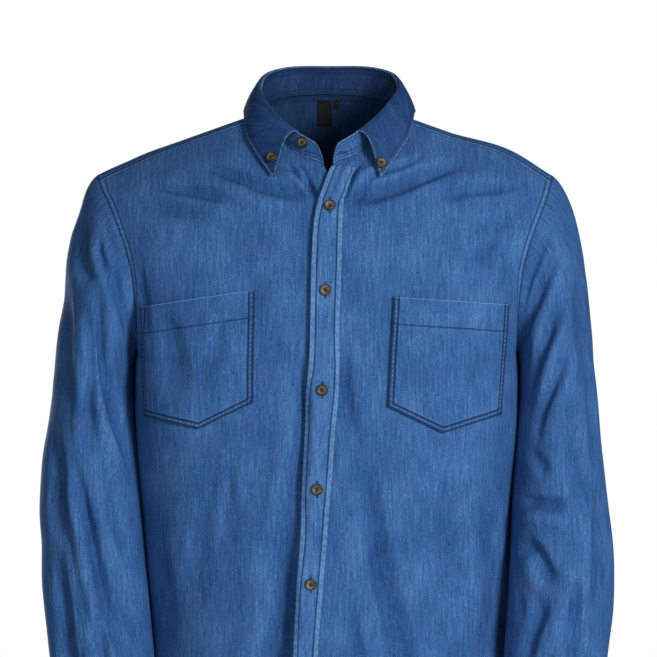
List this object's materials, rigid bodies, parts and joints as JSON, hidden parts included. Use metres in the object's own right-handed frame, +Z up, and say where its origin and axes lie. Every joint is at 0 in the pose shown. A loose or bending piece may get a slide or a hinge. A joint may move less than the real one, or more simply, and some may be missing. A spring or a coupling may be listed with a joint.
{
  "type": "denim shirt",
  "caption": "Long-sleeved denim shirt with a pointed button-down collar, a buttoned front band, pointed chest pockets, a shoulder yoke and buttoned cuffs, hollow as worn.",
  "frame": {"origin": "middle of the neck opening, level with the points where the shoulders meet the neck, which is where the wearer's neck and shoulders hold the shirt", "axes": "+Z up, front of the shirt towards -Y, wearer's left at +X"},
  "size_m": [0.6149, 0.2582, 0.842],
  "materials": {
    "denim": "washed mid-blue denim, matt",
    "label": "plain dark woven tape",
    "button": "brown horn look, satin"
  },
  "bodies": {
    "root": {"front_right": "denim", "front_left": "denim", "front_placket": "denim", "back": "denim", "yoke": "denim", "sleeve_right": "denim", "sleeve_left": "denim", "sleeve_placket_right": "denim", "sleeve_placket_left": "denim", "cuff_right": "denim", "cuff_left": "denim", "collar_stand": "denim", "collar_leaf": "denim", "pocket_right": "denim", "pocket_left": "denim", "neck_label": "label", "size_tab": "label", "button_front_1": "button", "button_front_2": "button", "button_front_3": "button", "button_front_4": "button", "button_front_5": "button", "button_front_6": "button", "button_front_7": "button", "button_stand": "button", "button_leaf_right": "button", "button_leaf_left": "button", "button_cuff_right": "button", "button_cuff_left": "button"}
  },
  "joints": []
}
